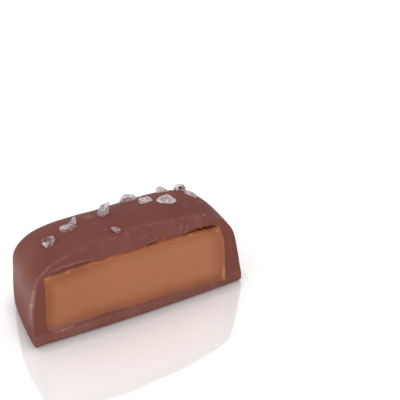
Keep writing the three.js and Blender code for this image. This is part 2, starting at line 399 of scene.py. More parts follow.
def paintFilling(slab):
    paint = fillingPaint
    x, _, z = readPoints(slab).T
    left, right, bottom, top = edges = faceEdges(x, z)
    overMiddle = bell(x - 0.5, 6.5)
    inCrevice = smoothStep(readNormals(slab)[:, 2], 0.3, 0.65) * smoothStep(creviceHeight(x), 0, 0.08)
    # painted shade towards the face's edges, along the groove and in the crevices
    addPaint(slab, "paintedShade", paintedShadeShare(x, z, edges, inCrevice))

    # painted highlights up the right edge's raised strip and along the top edge; the top corners are paler
    strip = 1 - smoothStep(right, 0.3, filling["stripWidth"] + 0.25 * wobble(z, 0.5, 11))
    strip *= paint["stripLight"] + spots(z, paint["stripSpots"])
    edge = paint["edgeLight"] + paint["edgeLightVaries"] * wobble(x, 0.7, 16)
    edge *= bell(top - 0.12, 0.17) * (1 - 0.4 * overMiddle)
    corners = spots(left, [paint["leftCorner"]]) + spots(right, [paint["rightCorner"]])
    corners *= bell(top - 0.3, 0.35) * smoothStep(top, -0.1, 0.05)
    addPaint(slab, "light", np.maximum(np.maximum(strip, edge), corners))

    fringe = bell(np.maximum(top, 0), paint["fringeWidth"] + 0.12 * wobble(x, 0.3, 75))
    fringe *= paint["fringe"] + paint["fringeMiddle"] * overMiddle
    addPaint(slab, "fringe", fringe * (1 - inCrevice))

    nearEdge = np.minimum(bottom - spots(x, paint["smearCorner"]), left + 0.6)
    smear = 1 - smoothStep(nearEdge, -0.2, paint["smearWidth"] + 0.4 * wobble(x, 0.9, 17))
    addPaint(slab, "smear", smear * smoothStep(top, 0.5, 2.5))


def paintedShadeShare(x, z, edges, inCrevice):  # painted shade: darker towards the edges, along the groove under the top edge and in the crevices
    paint = fillingPaint
    left, right, bottom, top = edges
    atLeft = smoothStep(-x, 1, 11)
    leftReach = paint["leftReach"] * (1 + 0.15 * wobble(z, 1.5, 18))
    sides = paint["leftDark"] * (1 - smoothStep(left, 0, leftReach))
    sides = np.maximum(sides, paint["rightDark"] * (1 - smoothStep(right, *paint["rightReach"])))
    sides = np.maximum(sides, paint["leftHalfDark"] * smoothStep(-x, 2, 9))
    below = paint["bottomDark"] + paint["bottomRightDark"] * smoothStep(x, 4, 9)
    below *= 1 - smoothStep(bottom, 0, paint["bottomReach"] * (1 + 0.12 * wobble(x, 2.5, 19)))
    above = (paint["topDark"] + paint["topLeftDark"] * atLeft) * (1 - smoothStep(top, *paint["topReach"]))
    groove = paint["grooveDark"] * (0.25 + 0.75 * atLeft) * bell(fromLip(x, top), paint["grooveWidth"])
    paintedShade = 1 - (1 - sides) * (1 - below) * (1 - above) * (1 - groove) * (1 - inCrevice)
    return paintedShade * (1 - paint["cornerClear"] * bell(left - 0.5, 1.2) * bell(top - 0.4, 0.55))


coat = {
    "cuts": 89, "voxel": 0.085, "smoothing": 2, "triangles": 192000,
    "swell": 0.05, "swellLength": 9.0,  # slow unevenness of the poured skin
    "ripple": 0.008, "rippleLength": 2.3,
    "rim": 0.06, "rimWidth": 0.1,  # a fine burr along the cut's upper edge
    "leftSide": (12.4, 13.2),  # the left wall starts between these distances from the middle
    "streaks": 0.012, "topLayer": (10.4, 11.0),  # the knife's streaks are deeper over the caramel
    "waves": 0.02, "footWaves": 0.03,
    "bump": {"at": (-3.77, 0.63), "half": (1.05, 0.7), "height": 0.15},  # a grain under the skin
    "pimpleHeight": 0.06, "pimpleWidth": 0.35,
    "pimples": [(8.1, -2.5, 12.3), (10.8, -1.4, 11.3), (-3.4, -3.4, 13.0), (4.6, 6.2, 7.1), (-7.2, 6.2, 3.4),
                (-1.5, 6.3, 5.2), (13.6, 0.8, 6.4), (13.2, -3.5, 8.9), (-11.6, 5.0, 6.0)],
    "bulges": [  # places where the poured skin stands out or sinks in: middle, reach, height
        ((-13.3, 2.8, 8.6), 1.2, 0.15),
        ((-14.6, -4.8, 0.2), 1.6, 0.14),
        ((-14.5, 0.8, 0.6), 2.2, -0.2),
        ((9.5, 5.5, 9.0), 3.0, 0.12),
        ((-4.0, 6.2, 5.0), 3.5, -0.12),
        ((3.5, 6.3, 3.0), 2.5, 0.1),
    ],
    "creviceEnds": 0.45,  # how blunt the crevices end, and where they fade out behind and below
    "creviceFront": (4.4, 5.3), "creviceTop": (8.5, 10.0), "hollowCuts": 99,
}
burr = {  # chocolate pushed out over the left side, with a fold half way up
    "height": 0.16, "bottom": (0.6, 2.5), "top": (10.4, 11.0), "tips": [(10.5, 0.35, 0.7)],
    "foldAt": 5.7, "foldHalf": 1.5,
    "crest": (0.14, 0.56),  # how far behind the cut it lies, and how much further in the fold
    "width": (0.14, 0.42),  # its half width, and how much wider it is in the fold
}
coatPaint = {  # how strongly the skin and the cut turn to their other colours, painted highlights, sheen and light among them
    "burrFold": [(5.9, 1.2, 0.3)], "burrSpread": 1.1,
    "glints": [(8.7, 0.7, 0.7), (7.2, 0.7, 0.45)], "lowGlint": 0.35,  # painted glints up the burr
    "edgeGlints": [(8.6, 0.9, 0.85), (7.2, 0.8, 0.6)], "edgeGlintWidth": 0.24,  # and painted glints up the cut's left edge
    "scrape": [(-12.0, 1.86), (-11.2, 1.84), (-10.6, 1.88), (-9.8, 1.96)], "scrapeWidth": 0.21,
    "wallSheen": 0.17,  # painted sheen: the walls are painted a little paler than the crown
    # painted sheen on the left foot and shoulder, the crown and the bump's top
    "lowSheen": 0.13, "highSheen": 0.04, "crownSheen": 0.03, "bumpSheen": 0.14,
    "pimples": 0.45, "behindRim": 0.3, "topLayer": 0.1, "topDrag": 0.3,
    "base": 0.38, "baseVaries": 0.12, "baseFade": (1.6, 2.6),  # painted light from the floor on the cut under the caramel
    "rim": 0.25, "rimLeft": 0.3,  # a painted highlight along the cut's edge
    "rimSpots": [(-3.6, 0.35, 0.5), (1.9, 0.5, 0.5), (-12.2, 0.5, 0.5), (-7.6, 0.9, 0.35), (6.5, 1.5, 0.25),
                 (11.3, 0.4, 0.35)],
    "filmWidth": 0.16, "filmCorners": [(-12.9, 1.0, 0.8), (11.7, 0.6, 0.8)],  # less at the top corners
}
crevices = [  # where the caramel has come away from the chocolate over it: start, widest, end, height
    (5.9, 9.9, 11.05, 0.47),
    (0.7, 1.4, 2.6, 0.3),
    (-2.3, -1.6, -1.1, 0.18),
    (3.2, 3.8, 4.5, 0.14),
]
knifeMarks = [  # ridges and grooves in the cut: points, height, half width, paleness
    ([(-12.2, 10.85), (-10.4, 11.2), (-8.8, 11.33), (-7.5, 11.38), (-5.8, 11.1)], 0.15, 0.12, 0.7),
    ([(-11.9, 10.52), (-10.6, 10.72), (-8.8, 11.0), (-7.4, 11.08), (-5.9, 10.88)], -0.18, 0.14, 0),
    ([(-12.6, 10.95), (-11.4, 11.6), (-9.9, 11.95), (-8.2, 12.1)], -0.05, 0.18, 0),
    ([(6.0, 11.9), (5.85, 11.5), (5.55, 10.95)], 0.08, 0.12, 0.8),
    ([(6.9, 11.45), (6.7, 11.1), (6.35, 10.7)], 0.09, 0.11, 0.85),
    ([(6.2, 11.2), (6.0, 10.75)], -0.08, 0.11, 0),
    ([(1.1, 11.02), (1.9, 11.1), (2.6, 11.25)], 0.08, 0.14, 0.6),
    ([(0.0, 11.98), (1.1, 12.05)], 0.04, 0.13, 0.45),
    ([(-1.8, 11.6), (-1.4, 11.66)], 0.05, 0.12, 0.5),
    ([(-5.2, 11.3), (-3.5, 11.75), (-1.5, 11.95)], 0.03, 0.18, 0.25),
    ([(3.4, 11.3), (4.6, 11.7), (8.5, 11.4)], 0.03, 0.22, 0.3),
    ([(-4.4, 11.2), (-3.6, 11.05), (-2.8, 11.1)], 0.06, 0.12, 0.4),
    ([(-12.1, 1.82), (-11.4, 1.8), (-10.8, 1.86), (-9.7, 1.94)], 0.09, 0.22, 1.0),
    ([(-9.4, 1.65), (-6.0, 1.85), (-3.0, 1.8)], -0.05, 0.2, 0),
    ([(-2.6, 1.6), (2.4, 1.5), (7.0, 1.3), (11.2, 0.9)], 0.03, 0.32, 0.42),
    ([(-8.6, 1.0), (-4.0, 1.1)], 0.02, 0.3, 0.25),
    ([(-13.0, 0.9), (-12.8, 1.3)], 0.05, 0.14, 0.35),
    ([(-3.45, 12.7), (-3.3, 12.75)], 0.05, 0.1, 0.7),
    ([(11.15, 11.15), (11.25, 11.2)], 0.05, 0.1, 0.6),
    ([(-10.95, 0.3), (-10.8, 0.42)], 0.07, 0.12, 0.5),
    ([(12.6, 9.6), (12.9, 7.5), (12.8, 5.5)], 0.02, 0.16, 0.25),
    ([(-9.2, 1.7), (-8.4, 1.86), (-7.2, 1.98), (-6.2, 2.0)], -0.13, 0.13, 0),
]


def creviceHeight(x):
    opening = np.zeros(len(x))
    for start, widest, end, height in crevices:
        ends = np.clip(np.minimum((x - start) / (widest - start), (end - x) / (end - widest)), 0, 1)
        ragged = 1 + 0.12 * wobble(x, 0.3, 21)
        opening = np.maximum(opening, height * ends ** coat["creviceEnds"] * ragged)
    return opening


def makeHollow():
    hollow = subdividedCube("hollow", coat["hollowCuts"])
    points = slabPoints(readPoints(hollow), 0)
    x, y, z = points.T
    atFront = smoothStep(z, *coat["creviceTop"]) * smoothStep(-y, *coat["creviceFront"])
    points[:, 2] += creviceHeight(x) * atFront
    writePoints(hollow, points)
    return hollow


def markRelief(x, z):  # height and paleness of the knife's marks
    relief, pale = np.zeros(len(x)), np.zeros(len(x))
    for i, (line, height, width, paleness) in enumerate(knifeMarks):
        away, along = lineDistance(x, z, line)
        ends = smoothStep(np.minimum(along, 1 - along), -0.12, 0.18)
        ragged = 1 + 0.3 * wobble(x + z, 0.35, 30 + i)
        relief += height * bell(away, width * ragged) * ends
        pale = np.maximum(pale, paleness * bell(away, 1.1 * width * ragged) * ends)
    return relief, pale


def onLeft(x):  # 1 on the left wall, 0 away from it
    return smoothStep(-x, *coat["leftSide"])


def burrShape(z):  # how far behind the cut the burr's crest lies, and how wide and how strong it is
    fold = bell(z - burr["foldAt"], burr["foldHalf"])
    present = smoothStep(z, *burr["bottom"]) * (1 - smoothStep(z, *burr["top"]))
    strength = present * (0.75 + 0.25 * wobble(z, 0.9, 41)) + spots(z, burr["tips"])
    (crest, crestMore), (width, widthMore) = burr["crest"], burr["width"]
    return crest + crestMore * fold, width + widthMore * fold, strength


def carveCoat(body):
    points, normals = readPoints(body), readNormals(body)
    x, y, z = points.T
    behind = y - cutDepth(x, z)
    under = skinDepth(points)
    onCut = 1 - smoothStep(behind, 0.08, 0.3)
    onSkin = 1 - smoothStep(under, 0.1, 0.4)

    relief, _ = markRelief(x, z)
    streaks = wobble(x + 0.2 * z, 0.3, 51) + wobble(x + 0.1 * z, 0.9, 52)
    relief += coat["streaks"] * streaks * (0.4 + smoothStep(z, *coat["topLayer"]))
    relief += coat["waves"] * wobble(x, 1.9, 53) * wobble(z, 1.3, 54)
    points[:, 1] -= relief * onCut

    crisp = (0.55 + 0.45 * smoothStep(-x, -2, 9)) * (0.8 + 0.4 * wobble(x - z, 0.6, 55))
    atRim = bell(np.hypot(behind, under), coat["rimWidth"])
    outward = coat["rim"] * crisp * atRim * smoothStep(z, 0.5, 2.0)
    crest, width, strength = burrShape(z)
    pushedOut = strength * bell(behind - crest, width)
    pushedOut *= 1 + 0.4 * wobble(z + 0.4 * y, 0.3, 60) + 0.25 * wobble(z - 0.3 * y, 0.16, 71)
    outward += burr["height"] * pushedOut * onSkin * onLeft(x)
    uneven = coat["swell"] * swell(points, coat["swellLength"], 56)
    uneven += coat["ripple"] * swell(points, coat["rippleLength"], 57)
    outward += uneven * smoothStep(z, 0.2, 2.5) * onSkin * smoothStep(behind, 0.2, 1.5)
    outward += bumpHeight(x, y) * onSkin * smoothStep(z, 9, 11)
    outward += coat["pimpleHeight"] * pimpleShape(points) * onSkin
    for middle, reach, height in coat["bulges"]:
        outward += height * bell(np.linalg.norm(points - middle, axis=1), reach) * onSkin
    footWave = coat["footWaves"] * (wobble(x + y, 1.6, 58) + wobble(x - y, 0.8, 59)) * bell(z - 0.5, 0.6)
    outward += footWave * onSkin * smoothStep(behind, 0.1, 0.6) * smoothStep(z, 0, 0.3)
    points += normals * outward[:, None]
    points[:, 2] = np.where(z < 0.12, np.maximum(points[:, 2], 0), points[:, 2])  # the base stays flat
    writePoints(body, points)


def bumpHeight(x, y):
    bump = coat["bump"]
    (midX, midY), (halfX, halfY) = bump["at"], bump["half"]
    away = ((x - midX) / halfX) ** 2 + ((y - midY - 0.1 * (x - midX)) / halfY) ** 2
    return bump["height"] * smoothStep(1.25 - away, 0, 1.25)


def pimpleShape(points):
    shape = np.zeros(len(points))
    for place in coat["pimples"]:
        across = np.linalg.norm(points - place, axis=1)
        shape += bell(across, coat["pimpleWidth"]) * (across < 1.2)
    return shape


def glintAndScrapeShare(x, z, behind, under, onBurr, onCut):  # painted glints up the burr and the cut's left edge, and a whitish scrape under the caramel
    paint = coatPaint
    upBurr = paint["lowGlint"] * smoothStep(z, 3, 5) + spots(z, paint["glints"])
    glints = onBurr * upBurr * (0.8 + 0.4 * wobble(z, 0.3, 72))
    onEdge = bell(np.hypot(behind, under), paint["edgeGlintWidth"]) * onLeft(x)
    glints = np.maximum(glints, onEdge * spots(z, paint["edgeGlints"]))
    away, _ = lineDistance(x, z, paint["scrape"])
    patchy = 0.45 + 0.55 * wobble(x + 0.5 * z, 0.35, 70)
    return np.maximum(glints, bell(away, paint["scrapeWidth"]) * patchy * onCut)


def paintedSheenShare(points, normals, behind, onCut, onSkin):  # painted sheen: where the skin is painted paler as it catches light, on the walls, the left foot and shoulder, the crown and the bump's top
    paint = coatPaint
    x, y, z = points.T
    wall = (1 - smoothStep(np.abs(normals[:, 2]), 0.05, 0.95)) * smoothStep(z, 2, 10)
    paintedSheen = paint["wallSheen"] * wall * (1 + 0.3 * swell(points, 7, 68)) * (1 - onCut)
    leftFoot = bell(behind - 1.4, 1.1) * bell(z - 4.0, 1.3) * onLeft(x) * onSkin
    leftShoulder = bell(behind - 4.8, 2.2) * bell(z - 10.3, 1.8) * smoothStep(-x, 10.5, 12.5) * onSkin
    crown = smoothStep(y, -2.5, 1.5) * smoothStep(z, 10.5, 12.2) * onSkin
    paintedSheen += paint["lowSheen"] * leftFoot + paint["highSheen"] * leftShoulder + paint["crownSheen"] * crown
    bump = bumpHeight(x, y - 0.05) / coat["bump"]["height"] * (z > 9) * onSkin
    return np.maximum(paintedSheen, paint["bumpSheen"] * bump)


def scuffAndLightShare(points, behind, onBurr, onCut, onSkin):  # where the chocolate is scuffed or dragged, with a painted highlight along the burr and painted light from the floor on the cut's base
    paint = coatPaint
    x, _, z = points.T
    _, marks = markRelief(x, z)
    pale = np.maximum(marks * onCut, onBurr * (0.75 + 0.35 * wobble(z, 0.45, 63)))
    pale = np.maximum(pale, paint["pimples"] * pimpleShape(points) * onSkin)
    behindRim = smoothStep(behind, 0.0, 0.3) * (1 - smoothStep(behind, 0.6, 1.6)) * (z > 11)
    behindRim *= smoothStep(x, -11, -6) * (1 - smoothStep(x, 0, 5)) * (0.7 + 0.3 * wobble(x, 1.2, 69))
    pale = np.maximum(pale, paint["behindRim"] * behindRim)
    topLayer = smoothStep(z, 10.6, 11.2) * smoothStep(x, -9, -3) * onCut
    drag = (0.5 + 0.5 * wobble(x + 0.12 * z, 0.28, 64)) * (0.5 + 0.5 * wobble(x, 1.7, 65))
    pale = np.maximum(pale, (paint["topLayer"] + paint["topDrag"] * drag) * topLayer)
    base = paint["base"] + paint["baseVaries"] * wobble(x, 1.3, 66)
    base *= 1 - smoothStep(z, *paint["baseFade"])
    return np.maximum(pale, base * onCut)


def rimShare(x, z):  # how bright the painted highlight along the cut's edge is
    broken = np.maximum(0.5 + 0.8 * wobble(x - z, 1.6, 61) + 0.5 * wobble(x, 0.35, 67), 0.1)
    light = (coatPaint["rim"] + coatPaint["rimLeft"] * smoothStep(-x, 4, 10)) * broken
    return (light + spots(x, coatPaint["rimSpots"])) * smoothStep(z, 1.0, 3.0)


def filmShare(x, z):  # caramel left on the chocolate round it, most of all where they have parted
    *_, top = edges = faceEdges(x, z)
    outside = np.maximum(-np.minimum.reduce(edges), 0)
    overMiddle = bell(x - 0.5, 6) * (z > 9)
    width = coatPaint["filmWidth"] + 0.1 * wobble(x, 0.4, 62) + 0.06 * wobble(x, 0.25, 74) * overMiddle
    atCrevice = smoothStep(creviceHeight(x), 0, 0.06) * (x < 6)
    strength = 0.4 + 0.5 * smoothStep(-top, -0.3, 0.1) * (0.5 + 0.5 * atCrevice)
    strength *= 1 + 0.3 * overMiddle - spots(x, coatPaint["filmCorners"]) * (z > 9)
    return bell(outside, width) * strength


def paintCoat(body):
    points = readPoints(body)
    x, y, z = points.T
    behind = y - cutDepth(x, z)
    under = skinDepth(points)
    onCut = 1 - smoothStep(behind, 0.1, 0.35)
    onSkin = 1 - smoothStep(under, 0.1, 0.4)
    crest, width, strength = burrShape(z)
    onBurr = strength + spots(z, coatPaint["burrFold"])
    onBurr *= bell(behind - crest, coatPaint["burrSpread"] * width) * onLeft(x) * onSkin
    # painted glints up the burr and the cut's left edge, with the whitish scrape under the caramel
    addPaint(body, "glintAndScrape", glintAndScrapeShare(x, z, behind, under, onBurr, onCut))
    # painted sheen on the walls, the left foot and shoulder, the crown and the bump's top
    addPaint(body, "paintedSheen", paintedSheenShare(points, readNormals(body), behind, onCut, onSkin))
    # scuffs and drag marks, with a painted highlight along the burr and painted light from the floor on the
    # cut's base
    addPaint(body, "scuffAndPaintedLight", scuffAndLightShare(points, behind, onBurr, onCut, onSkin))
    addPaint(body, "rimSide", 0.5 + 0.5 * (behind - under))  # 0.5 on the edge between the skin and the cut
    # a painted highlight along the cut's edge
    addPaint(body, "rimLight", rimShare(x, z))
    addPaint(body, "film", filmShare(x, z) * onCut)
    addPaint(body, "cutFace", onCut * smoothStep(under, 0.05, 0.3))


def makeCoat():
    body = subdividedCube("chocolateCoat", coat["cuts"])
    writePoints(body, domedSquare(readPoints(body)))
    cutAway(body, makeHollow())
    cutAway(body, makeKnife("coatKnife"))
    remesh(body, coat)
    carveCoat(body)
    thinOut(body, coat["triangles"])
    paintCoat(body)
    return shadeSmooth(body)


# Coarse salt on the crown. A grain's outline is its foot, turned to face the cut; "heights" are those of
# its upper corners, and "tones" how frosted they are, with painted light and shade. "bright" is the side
# that catches the light, painted lighter, and "clear" lets the chocolate show through. "pit" is the width
# and depth of a hopper crystal's hollow, with its middle at "pitAt", and "tip" leans the grain forward by so
# many degrees
salt = {
    "turn": -27.8, "sink": 0.22, "bevel": 0.045, "weld": 0.004,
    "knock": 0.05,  # how far corners are moved at random
    "chips": 1, "chipUp": (0.5, 1.6), "chipAt": (0.88, 0.97),  # how many, how steep and how far out
    "sides": 6, "taper": 0.75, "plainChips": 3,  # of a plain grain
    "pitFoot": 0.85, "pitFlare": 1.3,  # a pit is wider at the top
}
grains = [
    {"at": (-10.2, -1.45), "height": 0.75, "taper": 0.95, "pit": (0.62, 0.35), "tip": 14,
     "tones": [1.2, 0.0, 0.6, 1.05, 0.95, 0.4, -0.1], "pitTone": 0.1,
     "outline": [(0.85, 0.35), (0.45, 0.65), (-0.4, 0.6), (-0.9, 0.2), (-0.75, -0.45), (-0.15, -1.0),
                 (0.45, -0.8)],
     "heights": [1.0, 0.7, 0.9, 1.0, 1.0, 0.75, 0.45]},
    {"at": (-7.2, -0.5), "height": 0.5, "taper": 0.88, "clear": 0.85, "chips": 2,
     "tones": [0.2, -0.4, 0.0, 1.7, 0.7, 0.5, 0.3],
     "outline": [(1.25, 0.4), (0.8, 0.65), (-0.65, 0.6), (-1.2, 0.05), (-0.85, -0.6), (-0.4, -0.9),
                 (0.5, -0.5)],
     "heights": [0.5, 0.8, 1.0, 1.0, 0.9, 0.8, 0.6]},
    {"at": (-6.2, 0.5), "height": 1.1, "taper": 0.3, "lean": (0.4, 0), "clear": 0.3, "bright": (1, 0),
     "outline": [(0.45, 0.1), (-0.1, 0.3), (-0.95, 0.1), (-0.6, -0.4), (0.4, -0.4)]},
    {"at": (-1.95, 0.75), "height": 1.45, "taper": 0.95, "lean": (0.35, 0.1), "bright": (1, 0),
     "chips": 0, "tones": [0.8, 0.7, 0.5, 0.1, 0.15, 0.3, 0.9],
     "outline": [(0.75, 0.2), (0.35, 0.5), (-0.55, 0.5), (-1.0, 0.2), (-0.7, -0.45), (0, -0.85),
                 (0.5, -0.35)],
     "heights": [1.2, 1.1, 0.92, 0.55, 0.65, 0.7, 0.9]},
    {"at": (-2.4, -4.2), "height": 0.3, "taper": 0.85, "clear": 0.85, "bright": (-0.6, 0),
     "outline": [(0.75, -0.1), (0.15, 0.4), (-0.45, 0.5), (-0.7, 0.25), (-0.2, -0.4), (0.3, -0.75),
                 (0.55, -0.6)]},
    {"at": (2.55, 2.65), "height": 0.95, "taper": 0.92, "bright": (-1, 0),
     "outline": [(1.1, 0.3), (0.65, 0.55), (-0.6, 0.5), (-0.95, 0.1), (-1.65, -0.4), (-0.6, -0.6),
                 (0.6, -0.5)],
     "tones": [0.7, 0.6, 0.6, 0.9, 0.6, 0.1, 0.15],
     "heights": [0.7, 0.95, 1.2, 0.8, 0.1, 0.75, 0.7]},
    {"at": (3.95, 0.5), "height": 0.8, "taper": 0.9, "chips": 2,
     "outline": [(1.05, 0.4), (0.5, 0.45), (-0.2, 0.2), (-0.7, 0.3), (-0.95, 0), (-0.65, -0.6),
                 (-0.1, -0.65), (0.85, 0)],
     "heights": [0.3, 1.0, 0.88, 1.0, 0.9, 0.85, 0.75, 0.4]},
    {"at": (6.3, -0.85), "height": 0.42, "taper": 0.93, "pit": (0.72, 0.22), "pitTone": 0.45, "tip": 20,
     "outline": [(1.35, 0), (0.6, 0.8), (0.05, 1.15), (-0.95, 0.6), (-1.4, -0.1), (-0.65, -0.7),
                 (0.9, -0.7)]},
    {"at": (7.6, 2.95), "height": 0.85, "taper": 0.8, "bright": (-1, 0),
     "tones": [0.2, 0.5, 0.5, 1.0, 0.9, 0.2],
     "outline": [(1.0, -0.1), (0.4, 0.45), (-0.35, 0.45), (-0.95, 0), (-0.65, -0.5), (0.45, -0.45)],
     "heights": [0.25, 0.62, 1.05, 0.95, 0.7, 0.5]},
    {"at": (10.05, 2.75), "height": 0.95, "taper": 0.92, "pit": (0.55, 0.4), "tip": 38,
     "clear": -0.5, "pitAt": (0.12, -0.2),
     "outline": [(0.85, -0.05), (0.5, 0.5), (-0.45, 0.5), (-0.85, -0.1), (-0.4, -0.6), (0.45, -0.6)],
     "heights": [0.85, 1.0, 1.05, 0.9, 0.8, 0.8]},
    {"at": (10.5, 0.5), "height": 0.5, "taper": 0.92, "bright": (1, 0), "clear": -0.2,
     "outline": [(0.88, -0.35), (0.45, 0.25), (-0.45, 0.5), (-0.82, 0.25), (-0.3, -0.1), (0.55, -0.6)]},
]
crumbs = {"places": [(9.5, -5.2), (10.95, -4.08)], "size": 0.25, "clear": 1.0}
farGrains = {
    "count": 4, "from": -7.4, "step": 4.7, "y": 5.35, "scatter": (2.4, 1.0),
    "size": (1.1, 0.9, 0.45), "sizeVaries": (0.85, 0.4), "clear": 0.3,
}
facets = {  # how frosted the faces of a grain are, from 0 for clear to 1, with painted light on the bright side and painted shade in the pits
    "plain": (0.45, 0.85), "brightSide": 0.3, "toneVaries": 0.1, "clearing": 0.8,
    "bevels": (0.7, 1.0), "bevelSize": 0.7,
    "pit": 0.4, "pitVaries": 0.15, "pitEdge": 0.97,  # painted shade: a deeper pit is painted darker
}


def seeded(seed):  # the same small random source as the solids have
    state = seed * 7919 + 13
    while True:
        state = state * 16807 % 2147483647
        yield state / 2147483647


def plainGrain(at, size, turn, clear=0.0):
    angles = [2 * math.pi * i / salt["sides"] for i in range(salt["sides"])]
    outline = [(size[0] / 2 * math.cos(angle), size[1] / 2 * math.sin(angle)) for angle in angles]
    shape = {"outline": outline, "height": size[2], "taper": salt["taper"], "chips": salt["plainChips"]}
    return {"at": at, "turn": turn, "clear": clear, **shape}


def farRow():  # smaller grains on the back slope
    draws = seeded(77)
    row = []
    smallest, varies = farGrains["sizeVaries"]
    for i in range(farGrains["count"]):
        x = farGrains["from"] + i * farGrains["step"] + farGrains["scatter"][0] * (next(draws) - 0.5)
        y = farGrains["y"] + farGrains["scatter"][1] * (next(draws) - 0.5)
        size = [value * (smallest + varies * next(draws)) for value in farGrains["size"]]
        row.append(plainGrain((x, y), size, 180 * next(draws), farGrains["clear"] * (i % 2)))
    return row


def crownNormal(x, y):
    reach = 0.2
    slopeX = (crownHeight(x + reach, y) - crownHeight(x - reach, y)) / (2 * reach)
    slopeY = (crownHeight(x, y + reach) - crownHeight(x, y - reach)) / (2 * reach)
    return Vector((-slopeX, -slopeY, 1)).normalized()


def outlineStub(name, outline, height, taper, lean=(0, 0), heights=None, foot=0.0):
    sides = len(outline)
    deselect()
    bpy.ops.mesh.primitive_cylinder_add(vertices=sides, radius=mm, depth=2 * mm, end_fill_type="TRIFAN")
    stub = named(name)
    heights = heights or [1.0] * sides
    for vertex in stub.data.vertices:
        corner = vertex.co / mm
        atMiddle = math.hypot(corner.x, corner.y) < 0.5
        around = math.atan2(corner.y, corner.x) / (2 * math.pi)
        i = round((around - 0.25) * sides) % sides  # a cylinder's first corner is at the back
        x, y = (0, 0) if atMiddle else outline[i]
        if corner.z > 0:
            up = sum(heights) / sides + 0.05 if atMiddle else heights[i]
            vertex.co = Vector((taper * x + lean[0], taper * y + lean[1], height * up)) * mm
        else:
            vertex.co = Vector((x, y, -foot)) * mm
    return stub


def chipEdge(crystal, rng):  # takes a flat chip off an upper edge
    facing = Vector((rng.uniform(-1, 1), rng.uniform(-1, 1), rng.uniform(*salt["chipUp"]))).normalized()
    reach = max(vertex.co.dot(facing) for vertex in crystal.data.vertices)
    bpy.ops.mesh.select_all(action="SELECT")
    bpy.ops.mesh.quads_convert_to_tris()
    bpy.ops.mesh.bisect(plane_co=facing * reach * rng.uniform(*salt["chipAt"]), plane_no=facing,
                        use_fill=True, clear_outer=True)
    bpy.ops.mesh.select_all(action="SELECT")
    bpy.ops.mesh.remove_doubles(threshold=salt["weld"] * mm)


def makeGrain(grain, seed):
    rng = random.Random(seed)
    outline, height, lean = grain["outline"], grain["height"], grain.get("lean", (0, 0))
    knocked = [[value + salt["knock"] * rng.uniform(-1, 1) for value in corner] for corner in outline]
    tip = math.radians(grain.get("tip", 0))
    foot = math.sin(tip) * max(y for _, y in outline)  # a tipped grain reaches deeper, so that no gap opens
    crystal = outlineStub("saltGrain", knocked, height, grain["taper"], lean, grain.get("heights"), foot)
    bpy.ops.object.mode_set(mode="EDIT")
    for _ in range(grain.get("chips", salt["chips"])):
        chipEdge(crystal, rng)
    bpy.ops.mesh.dissolve_limited(angle_limit=math.radians(3))
    bpy.ops.object.mode_set(mode="OBJECT")
    if "pit" in grain:
        width, depth = grain["pit"]
        inner = [(salt["pitFoot"] * width * x, salt["pitFoot"] * width * y) for x, y in outline]
        pit = outlineStub("pit", inner, 2 * height, salt["pitFlare"], lean)
        writePoints(pit, readPoints(pit) + (*grain.get("pitAt", (0, 0)), height * (1 - depth)))
        cutAway(crystal, pit)
    applyModifier(crystal, "BEVEL", width=salt["bevel"] * mm, segments=1, limit_method="ANGLE")
    paintGrain(crystal, grain, rng)
    normal = crownNormal(*grain["at"])
    place = Vector((*grain["at"], float(crownHeight(*grain["at"])))) - salt["sink"] * height * normal
    upright = Vector((0, 0, 1)).rotation_difference(normal).to_matrix()
    turn = Matrix.Rotation(math.radians(grain.get("turn", salt["turn"])), 3, "Z")
    leanForward = Matrix.Rotation(tip, 3, "X")
    crystal.data.transform(Matrix.Translation(place * mm) @ (upright @ turn @ leanForward).to_4x4())
    return crystal


def paintGrain(crystal, grain, rng):  # facets of one grain differ in tone, with painted light on the bright side, painted light and shade in the listed tones and painted shade in the pits, and its edges are frosted
    faces = crystal.data.polygons
    clear, (brightX, brightY) = grain.get("clear", 0), grain.get("bright", (0, 0))
    pitWidth, pitDepth = grain.get("pit", (0, 0))
    pitX, pitY = grain.get("pitAt", (0, 0))
    leanX, leanY = grain.get("lean", (0, 0))
    corners = [(math.atan2(y, x), math.hypot(x, y), i) for i, (x, y) in enumerate(grain["outline"])]
    angles, radii, order = zip(*sorted(corners))
    tones = [grain["tones"][i] for i in order] if "tones" in grain else None
    largest = max(face.area for face in faces)
    smallArea = facets["bevelSize"] * salt["bevel"] * mm * math.sqrt(largest)  # bevels are smaller
    frostAndPaintedLight = []
    for face in faces:
        middle = face.center / mm
        share = middle.z / grain["height"]
        x, y = middle.x - leanX * share, middle.y - leanY * share
        around = math.atan2(y, x)
        radius = np.interp(around, angles, radii, period=2 * math.pi)
        # painted light: faces towards the bright side are lighter
        bright = face.normal.x * brightX + face.normal.y * brightY
        tone = rng.uniform(*facets["plain"]) + facets["brightSide"] * bright
        if face.area < smallArea:
            tone = rng.uniform(*facets["bevels"])
        if tones:
            varies = rng.uniform(-1, 1) * facets["toneVaries"]
            tone = varies + np.interp(around, angles, tones, period=2 * math.pi)
        # painted shade: faces in a pit take the pit's tone, darker for a deeper pit
        inPit = math.hypot(x - pitX, y - pitY) < facets["pitEdge"] * pitWidth * radius
        if inPit and share < facets["pitEdge"]:
            varies = rng.uniform(-1, 1) * facets["pitVaries"]
            tone = varies + grain.get("pitTone", facets["pit"] * (1 - pitDepth))
        frostAndPaintedLight.append(tone * (1 - facets["clearing"] * clear))
    layer = crystal.data.attributes.new("frostAndPaintedLight", "FLOAT", "FACE")
    layer.data.foreach_set("value", np.clip(frostAndPaintedLight, 0, 1).astype(np.float32))


